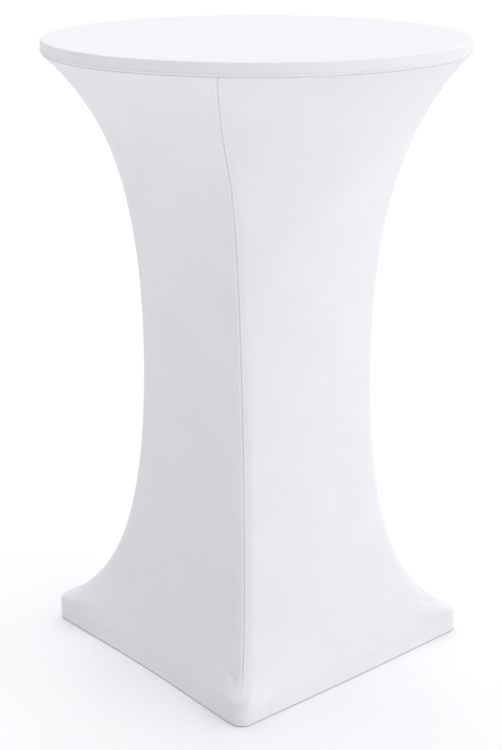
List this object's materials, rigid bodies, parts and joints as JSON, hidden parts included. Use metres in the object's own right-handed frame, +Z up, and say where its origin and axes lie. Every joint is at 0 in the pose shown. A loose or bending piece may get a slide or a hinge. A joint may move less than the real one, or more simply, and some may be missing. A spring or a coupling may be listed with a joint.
{
  "type": "fitted tablecloth on bar table",
  "caption": "Fitted white stretch tablecloth on a round bar-height pedestal table: a cap over the top, an hourglass skirt with corner seams, and pockets hooked under the feet.",
  "frame": {"origin": "on the floor under the middle of the table", "axes": "+Z up; the feet and corner seams are on the diagonals of X and Y; the hem's sides run along X and Y; -Y is the front"},
  "size_m": [0.722, 0.722, 1.1],
  "materials": {
    "white_stretch_cloth": "matt knitted stretch cloth with a faint sheen",
    "hem_cloth": "the same cloth, turned up and stitched",
    "pocket_cloth": "two layers of the same cloth, bonded and stitched",
    "white_elastic": "ribbed woven elastic",
    "seam_tape": "fine woven tape and seam allowance",
    "particle_board": "raw particle board",
    "white_laminate": "lightly pebbled melamine",
    "edge_band": "satin edge strip",
    "grey_painted_steel": "satin powder coat",
    "black_painted_steel": "satin powder coat",
    "zinc_steel": "bright zinc plate",
    "black_plastic": "fine spark texture"
  },
  "bodies": {
    "table": {"arm_front_right": "grey_painted_steel", "foot_cap_front_right": "black_plastic", "glide_insert_front_right": "zinc_steel", "arm_back_right": "grey_painted_steel", "foot_cap_back_right": "black_plastic", "glide_insert_back_right": "zinc_steel", "arm_back_left": "grey_painted_steel", "foot_cap_back_left": "black_plastic", "glide_insert_back_left": "zinc_steel", "arm_front_left": "grey_painted_steel", "foot_cap_front_left": "black_plastic", "glide_insert_front_left": "zinc_steel", "tabletop_core": "particle_board", "tabletop_laminate": "white_laminate", "tabletop_backing": "white_laminate", "tabletop_edge_band": "edge_band", "top_spider": "black_painted_steel", "spider_screws": "zinc_steel", "column": "grey_painted_steel", "column_flange": "black_painted_steel", "base_plate_upper": "black_painted_steel", "base_plate_lower": "black_painted_steel", "arm_bolts": "zinc_steel", "tie_rod": "zinc_steel", "tie_rod_nut": "zinc_steel", "tie_rod_washer": "zinc_steel"},
    "cover": {"cap": "white_stretch_cloth", "rim_seam_tape": "seam_tape", "skirt_front": "white_stretch_cloth", "hem_band_front": "hem_cloth", "hem_elastic_front": "white_elastic", "skirt_right": "white_stretch_cloth", "hem_band_right": "hem_cloth", "hem_elastic_right": "white_elastic", "skirt_back": "white_stretch_cloth", "hem_band_back": "hem_cloth", "hem_elastic_back": "white_elastic", "skirt_left": "white_stretch_cloth", "hem_band_left": "hem_cloth", "hem_elastic_left": "white_elastic", "foot_pocket_front_right": "pocket_cloth", "seam_tape_front_right": "seam_tape", "foot_pocket_back_right": "pocket_cloth", "seam_tape_back_right": "seam_tape", "foot_pocket_back_left": "pocket_cloth", "seam_tape_back_left": "seam_tape", "foot_pocket_front_left": "pocket_cloth", "seam_tape_front_left": "seam_tape"},
    "glide_front_right": {"glide_pad_front_right": "black_plastic", "glide_stud_front_right": "zinc_steel"},
    "glide_back_right": {"glide_pad_back_right": "black_plastic", "glide_stud_back_right": "zinc_steel"},
    "glide_back_left": {"glide_pad_back_left": "black_plastic", "glide_stud_back_left": "zinc_steel"},
    "glide_front_left": {"glide_pad_front_left": "black_plastic", "glide_stud_front_left": "zinc_steel"}
  },
  "joints": [
    {"name": "cover_lift", "type": "slide", "parent": "table", "child": "cover", "axis": [0, 0, 1], "range_m": [0, 1.15], "deforming": ["rim_seam_tape", "skirt_front", "hem_band_front", "hem_elastic_front", "skirt_right", "hem_band_right", "hem_elastic_right", "skirt_back", "hem_band_back", "hem_elastic_back", "skirt_left", "hem_band_left", "hem_elastic_left", "foot_pocket_front_right", "seam_tape_front_right", "foot_pocket_back_right", "seam_tape_back_right", "foot_pocket_back_left", "seam_tape_back_left", "foot_pocket_front_left", "seam_tape_front_left"]},
    {"name": "glide_front_right_out", "type": "slide", "parent": "table", "child": "glide_front_right", "axis": [0, 0, -1], "range_m": [0, 0.01]},
    {"name": "glide_back_right_out", "type": "slide", "parent": "table", "child": "glide_back_right", "axis": [0, 0, -1], "range_m": [0, 0.01]},
    {"name": "glide_back_left_out", "type": "slide", "parent": "table", "child": "glide_back_left", "axis": [0, 0, -1], "range_m": [0, 0.01]},
    {"name": "glide_front_left_out", "type": "slide", "parent": "table", "child": "glide_front_left", "axis": [0, 0, -1], "range_m": [0, 0.01]}
  ]
}
